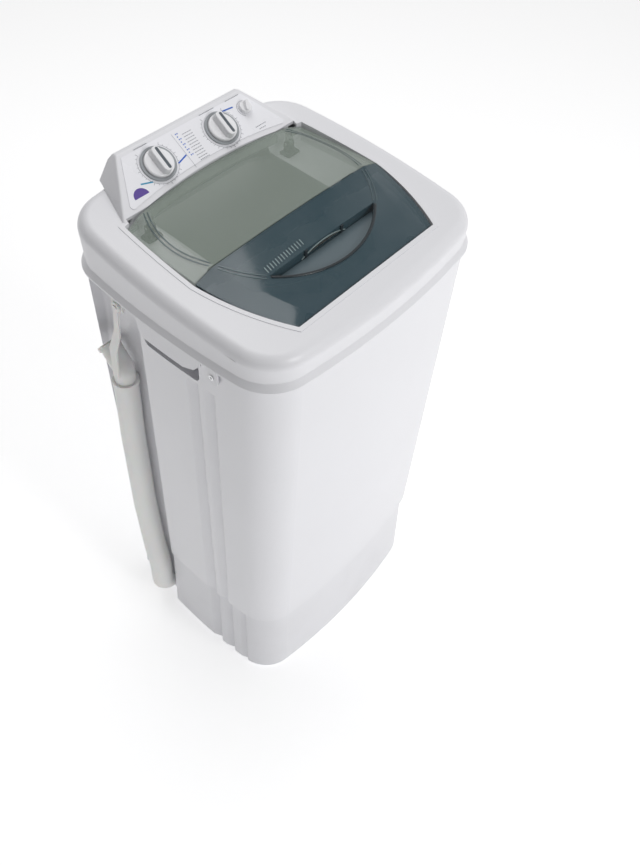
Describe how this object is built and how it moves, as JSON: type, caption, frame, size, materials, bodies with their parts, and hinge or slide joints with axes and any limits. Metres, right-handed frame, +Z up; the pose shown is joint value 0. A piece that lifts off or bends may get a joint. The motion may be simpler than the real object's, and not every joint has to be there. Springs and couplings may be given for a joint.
{
  "type": "single-tub washing machine",
  "caption": "Tall tapering top-loading single-tub washer with a folding smoked lid, sloping dial console, side grips and an upright side drain hose.",
  "frame": {"origin": "on the floor under the middle of the cabinet", "axes": "+Z up, +X to the user's right, +Y from the user towards the control console"},
  "size_m": [0.46, 0.422, 0.8843],
  "materials": {
    "white_shell": "satin moulded white",
    "base_plastic": "satin moulded white, slightly greyer",
    "fascia": "printed film",
    "smoked_lid": "clear smoked, polished",
    "knob_white": "satin",
    "knob_grey": "satin",
    "knob_dark": "matte",
    "dark_plastic": "matte",
    "tub_plastic": "smooth moulded",
    "filter_plastic": "matte",
    "filter_mesh": "fine mesh",
    "pulsator_plastic": "smooth moulded",
    "steel": "bright",
    "zinc_plate": "galvanised sheet",
    "cast_alloy": "as cast",
    "bronze": "sintered",
    "motor_paint": "semi-gloss",
    "black_rubber": "matte",
    "hose_plastic": "soft semi-matte"
  },
  "bodies": {
    "cabinet": {"base_skirt": "base_plastic", "bearing_bushes": "bronze", "bearing_housing": "cast_alloy", "bottom_guard": "base_plastic", "cabinet_body": "white_shell", "capacitor": "knob_white", "capacitor_clamp": "steel", "chassis_plate": "zinc_plate", "console_back_cover": "white_shell", "console_fascia": "fascia", "console_housing": "white_shell", "cord_gland": "black_rubber", "cover_screws": "steel", "drain_hose": "hose_plastic", "drain_pipe": "hose_plastic", "drive_belt": "black_rubber", "filter_bag": "filter_mesh", "filter_frame": "filter_plastic", "foot_screws": "steel", "frame_screws": "steel", "hinge_brackets": "dark_plastic", "hose_elbow": "hose_plastic", "hose_outlet": "hose_plastic", "hose_peg": "hose_plastic", "housing_bolts": "steel", "lid_buffers": "black_rubber", "motor_bolts": "steel", "motor_bushes": "black_rubber", "motor_can": "motor_paint", "motor_lower_shield": "cast_alloy", "motor_upper_shield": "cast_alloy", "program_case": "dark_plastic", "program_ring": "knob_grey", "rear_hinge_pins": "steel", "rubber_feet": "black_rubber", "selector_case": "dark_plastic", "service_cover": "white_shell", "shaft_seal": "black_rubber", "timer_case": "dark_plastic", "timer_ring": "knob_grey", "top_frame": "white_shell", "wash_tub": "tub_plastic"},
    "rear_lid": {"lid_rear_panel": "smoked_lid", "fold_rod": "steel"},
    "front_lid": {"lid_front_panel": "smoked_lid"},
    "timer": {"timer_spindle": "steel", "timer_knob": "knob_white", "timer_pad": "knob_dark"},
    "program": {"program_spindle": "steel", "program_knob": "knob_white", "program_pad": "knob_dark"},
    "selector": {"selector_knob": "knob_white"},
    "pulsator_drive": {"pulsator": "pulsator_plastic", "pulsator_cap": "pulsator_plastic", "pulsator_screw": "steel", "drive_shaft": "steel", "large_pulley": "cast_alloy", "pulley_collar": "steel"},
    "motor_rotor": {"rotor_shaft": "steel", "motor_pulley": "cast_alloy"}
  },
  "joints": [
    {"name": "rear_lid_hinge", "type": "hinge", "parent": "cabinet", "child": "rear_lid", "pos_m": [0, 0.10421, 0.815], "axis": [-1, 0, 0], "range_deg": [0, 78]},
    {"name": "lid_fold", "type": "hinge", "parent": "rear_lid", "child": "front_lid", "pos_m": [0, -0.028, 0.8], "axis": [-1, 0, 0], "range_deg": [-156, 0]},
    {"name": "timer_turn", "type": "hinge", "parent": "cabinet", "child": "timer", "pos_m": [-0.074, 0.15657, 0.85777], "axis": [0, 0.5505, -0.8348], "range_deg": [0, 300]},
    {"name": "program_turn", "type": "hinge", "parent": "cabinet", "child": "program", "pos_m": [0.049, 0.15657, 0.85777], "axis": [0, 0.5505, -0.8348], "range_deg": [0, 180]},
    {"name": "selector_turn", "type": "hinge", "parent": "cabinet", "child": "selector", "pos_m": [0.105, 0.16492, 0.86328], "axis": [0, 0.5505, -0.8348], "range_deg": [0, 90]},
    {"name": "pulsator_spin", "type": "hinge", "parent": "cabinet", "child": "pulsator_drive", "pos_m": [0, 0, 0.19], "axis": [0, 0, 1], "continuous": true},
    {"name": "motor_spin", "type": "hinge", "parent": "cabinet", "child": "motor_rotor", "pos_m": [0.108, 0.062, 0.09], "axis": [0, 0, 1], "continuous": true}
  ],
  "couplings": [
    {"joint": "lid_fold", "follows": "rear_lid_hinge", "ratio": -2},
    {"joint": "motor_spin", "follows": "pulsator_spin", "ratio": 3.8962}
  ]
}
